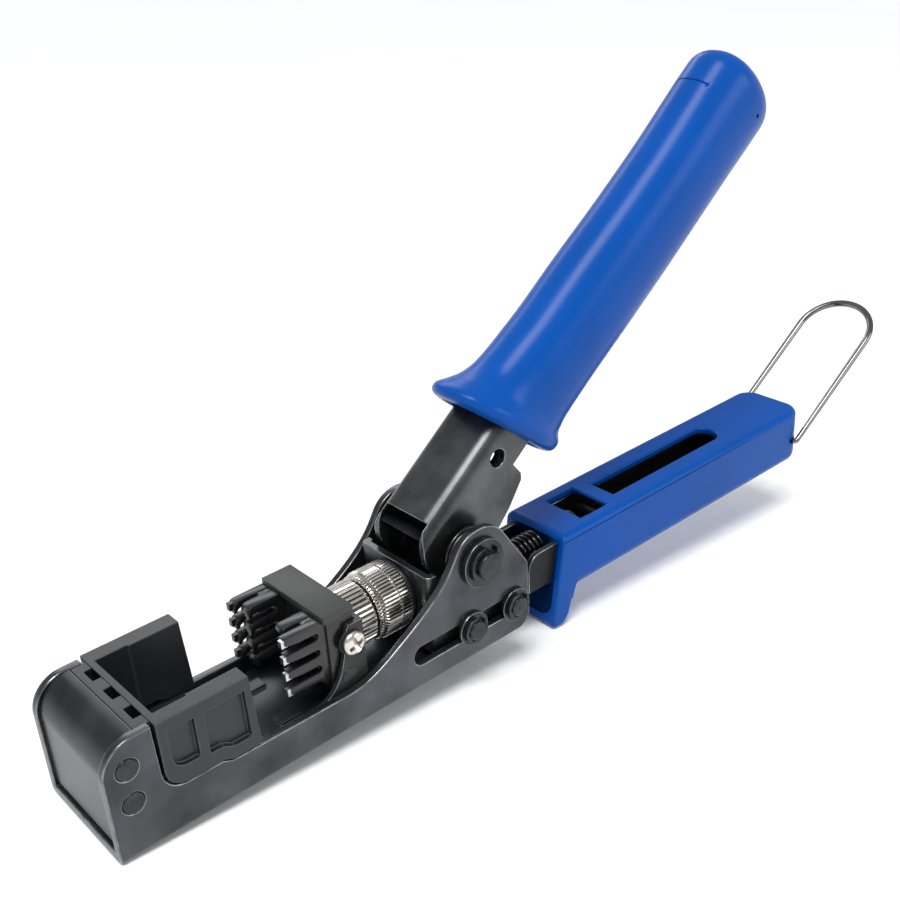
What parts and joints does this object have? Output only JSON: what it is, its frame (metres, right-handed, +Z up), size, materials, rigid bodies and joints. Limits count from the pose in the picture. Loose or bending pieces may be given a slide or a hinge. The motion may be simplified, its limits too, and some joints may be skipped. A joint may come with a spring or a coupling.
{
  "type": "keystone jack termination tool",
  "caption": "Hand crimping tool: a squeezed lever drives a row of punches forward into a jack held in the nest, with a knurled depth adjuster and a wire bail.",
  "frame": {"origin": "middle of the flat underside of the sheet frame", "axes": "+X from the jaw back to the handles, +Y across the tool to the side of the pin heads, +Z up from the frame's underside"},
  "size_m": [0.2486, 0.0334, 0.1207],
  "materials": {
    "black_steel": "black oxide sheet steel, satin, with lighter rubbed edges",
    "dark_steel": "blackened turned steel, satin",
    "bright_steel": "bright ground steel",
    "nickel": "warm satin nickel plate, knurled",
    "black_plastic": "moulded charcoal black plastic, fine grain",
    "punch_plastic": "moulded black plastic, semi-gloss",
    "blue_grip": "royal blue moulded grip, glossy",
    "spring_steel": "oiled spring wire",
    "chrome_wire": "bright chrome plated wire"
  },
  "bodies": {
    "tool_frame": {"frame_channel": "black_steel", "front_cover": "black_steel", "jack_nest": "black_plastic", "rear_tray": "black_plastic", "front_rivets": "black_steel", "pivot_pin": "dark_steel", "pivot_washer": "dark_steel", "pivot_clip": "dark_steel", "lever_spacers": "dark_steel", "handle_core": "black_steel", "core_rivets": "black_steel", "lower_grip": "blue_grip", "return_spring": "spring_steel", "spring_anchor": "dark_steel"},
    "handle": {"lever_channel": "black_steel", "lever_tang": "black_steel", "upper_grip": "blue_grip"},
    "carriage": {"carriage_bracket": "black_steel", "carriage_pins": "dark_steel", "carriage_washers": "dark_steel", "carriage_clips": "dark_steel", "knob_seat": "dark_steel"},
    "knob": {"adjuster_knob": "nickel", "knob_retainer": "dark_steel"},
    "head": {"head_bracket": "black_steel", "punch_block": "punch_plastic", "near_blades": "bright_steel", "far_blades": "bright_steel", "block_screws": "nickel", "bracket_studs": "dark_steel", "threaded_stem": "bright_steel", "stem_collar": "nickel"},
    "bail": {"wire_bail": "chrome_wire"}
  },
  "joints": [
    {"name": "handle_swing", "type": "hinge", "parent": "tool_frame", "child": "handle", "pos_m": [0.0374, 0, 0.023], "axis": [0, 1, 0], "range_deg": [0, 35], "stiffness_Nm_per_rad": 0.35, "springref_deg": -28.65},
    {"name": "carriage_slide", "type": "slide", "parent": "tool_frame", "child": "carriage", "axis": [-1, 0, 0], "range_m": [0, 0.01]},
    {"name": "knob_turn", "type": "hinge", "parent": "carriage", "child": "knob", "pos_m": [0.0198, 0, 0.0155], "axis": [1, 0, 0], "range_deg": [0, 900]},
    {"name": "head_advance", "type": "slide", "parent": "carriage", "child": "head", "axis": [-1, 0, 0], "range_m": [0, 0.00313]},
    {"name": "bail_swing", "type": "hinge", "parent": "tool_frame", "child": "bail", "pos_m": [0.157, 0, 0.0045], "axis": [0, -1, 0], "range_deg": [-58, 82]}
  ],
  "couplings": [
    {"joint": "carriage_slide", "follows": "handle_swing", "m_per_rad": 0.01637},
    {"joint": "head_advance", "follows": "knob_turn", "m_per_rad": 0.00019894}
  ]
}
